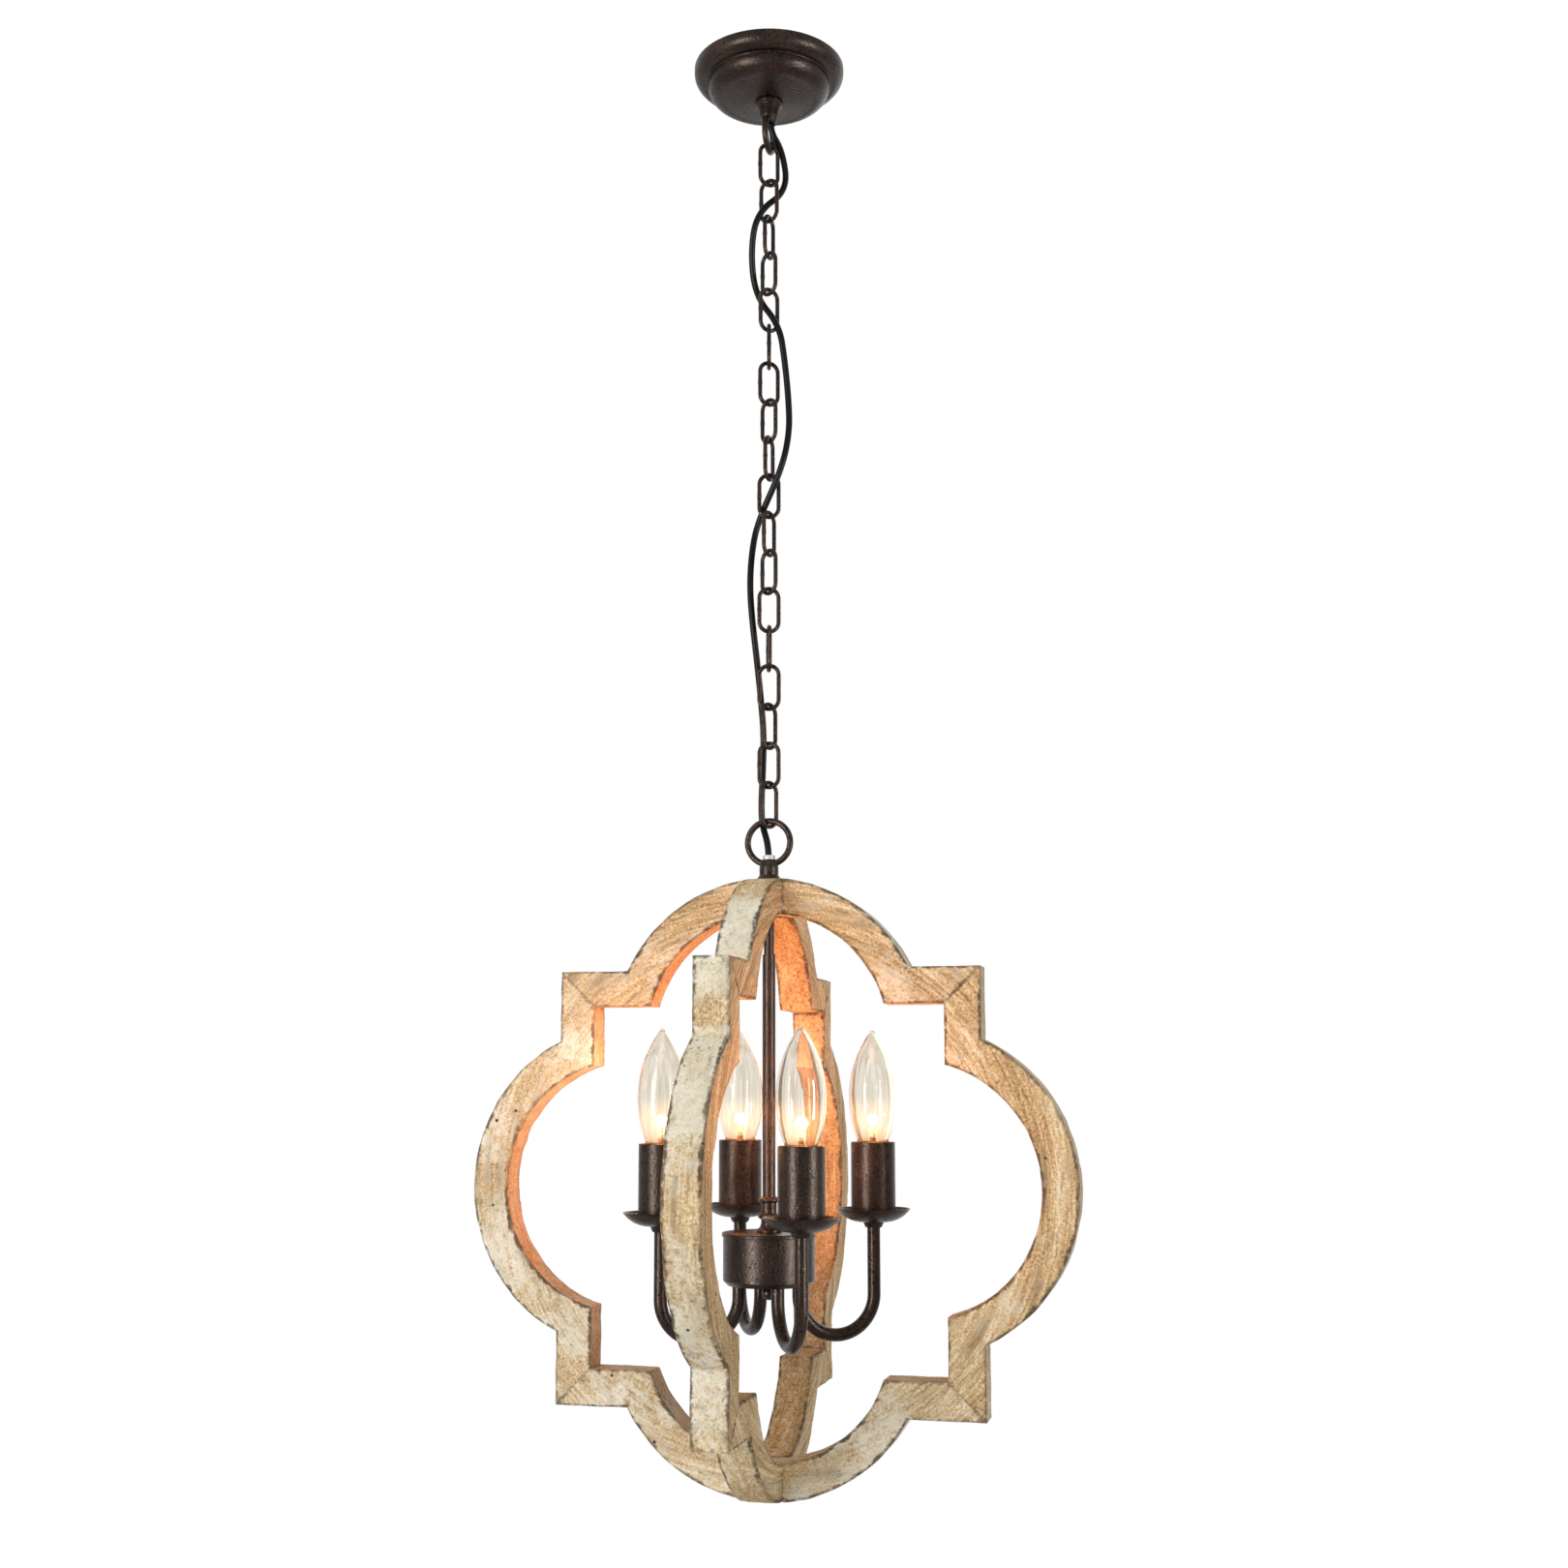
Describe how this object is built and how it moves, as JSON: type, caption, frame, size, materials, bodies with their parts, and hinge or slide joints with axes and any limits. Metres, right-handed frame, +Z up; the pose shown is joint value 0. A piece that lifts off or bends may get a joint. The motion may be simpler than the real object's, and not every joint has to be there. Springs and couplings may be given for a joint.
{
  "type": "pendant light",
  "caption": "Orb pendant light: crossed quatrefoil frames of whitewashed wood round a cluster of candle lamps, on a chain with a woven cable and a ceiling canopy.",
  "frame": {"origin": "centre of the crossbar's upper face, in the plane of the ceiling", "axes": "+Z up towards the ceiling, +X along the crossbar and across the first wooden frame, -Y towards the viewer"},
  "size_m": [0.46, 0.46, 1.117],
  "materials": {
    "zinc_steel": "zinc plated, satin",
    "earth_green": "green, gloss",
    "dark_metal": "dark bronze, satin with fine speckles",
    "connector_plastic": "moulded, satin",
    "cable_sheath": "black, matt",
    "white_plastic": "moulded, satin",
    "whitewashed_wood": "worn whitewash over brown stain, matt",
    "dowel_wood": "plain beech",
    "sleeve_black": "black, hammered",
    "holder_plastic": "black phenolic, matt",
    "cap_metal": "rolled, bright",
    "bulb_glass": "clear, lit warm",
    "filament_glass": "glowing warm"
  },
  "bodies": {
    "ceiling_mount": {"ceiling_crossbar": "zinc_steel", "earth_screw": "earth_green", "ceiling_nipple": "zinc_steel", "nipple_nuts": "zinc_steel", "canopy": "dark_metal", "collar_nut": "dark_metal", "wire_connectors": "connector_plastic", "canopy_loop": "dark_metal"},
    "top_link": {"top_chain_link": "dark_metal"},
    "chain": {"chain_links_upper": "dark_metal", "chain_links_lower": "dark_metal", "supply_cable": "cable_sheath"},
    "fixture": {"fixture_loop": "dark_metal", "cable_bushing": "white_plastic", "frame_a_right": "whitewashed_wood", "frame_a_top": "whitewashed_wood", "frame_a_left": "whitewashed_wood", "frame_a_bottom": "whitewashed_wood", "frame_b_back": "whitewashed_wood", "frame_b_top": "whitewashed_wood", "frame_b_front": "whitewashed_wood", "frame_b_bottom": "whitewashed_wood", "mitre_dowels": "dowel_wood", "lap_screw": "zinc_steel", "frame_nut": "dark_metal", "stem_tube": "dark_metal", "centre_rod": "dark_metal", "rod_cable": "cable_sheath", "spindle_collar": "dark_metal", "hub_lid": "dark_metal", "hub_cup": "dark_metal", "hub_finial": "dark_metal", "arm_1": "dark_metal", "arm_2": "dark_metal", "arm_3": "dark_metal", "arm_4": "dark_metal", "drip_pan_1": "dark_metal", "drip_pan_2": "dark_metal", "drip_pan_3": "dark_metal", "drip_pan_4": "dark_metal", "candle_sleeve_1": "sleeve_black", "candle_sleeve_2": "sleeve_black", "candle_sleeve_3": "sleeve_black", "candle_sleeve_4": "sleeve_black", "lamp_holders": "holder_plastic", "arm_nuts": "zinc_steel"},
    "bulb_1": {"bulb_cap_1": "cap_metal", "bulb_glass_1": "bulb_glass", "bulb_filament_1": "filament_glass"},
    "bulb_2": {"bulb_cap_2": "cap_metal", "bulb_glass_2": "bulb_glass", "bulb_filament_2": "filament_glass"},
    "bulb_3": {"bulb_cap_3": "cap_metal", "bulb_glass_3": "bulb_glass", "bulb_filament_3": "filament_glass"},
    "bulb_4": {"bulb_cap_4": "cap_metal", "bulb_glass_4": "bulb_glass", "bulb_filament_4": "filament_glass"}
  },
  "joints": [
    {"name": "chain_swing_side", "type": "hinge", "parent": "ceiling_mount", "child": "top_link", "pos_m": [0, 0, -0.0685], "axis": [0, 1, 0], "range_deg": [-30, 30], "deforming": ["supply_cable"]},
    {"name": "chain_swing_front", "type": "hinge", "parent": "top_link", "child": "chain", "pos_m": [0, 0, -0.09815], "axis": [0.809, 0.5878, 0], "range_deg": [-30, 30], "deforming": ["supply_cable"]},
    {"name": "fixture_tilt", "type": "hinge", "parent": "chain", "child": "fixture", "pos_m": [0, 0, -0.6123], "axis": [1, 0, 0], "range_deg": [-20, 20], "deforming": ["supply_cable"]},
    {"name": "bulb_1_out", "type": "slide", "parent": "fixture", "child": "bulb_1", "axis": [0, 0, 1], "range_m": [0, 0.03]},
    {"name": "bulb_2_out", "type": "slide", "parent": "fixture", "child": "bulb_2", "axis": [0, 0, 1], "range_m": [0, 0.03]},
    {"name": "bulb_3_out", "type": "slide", "parent": "fixture", "child": "bulb_3", "axis": [0, 0, 1], "range_m": [0, 0.03]},
    {"name": "bulb_4_out", "type": "slide", "parent": "fixture", "child": "bulb_4", "axis": [0, 0, 1], "range_m": [0, 0.03]}
  ]
}
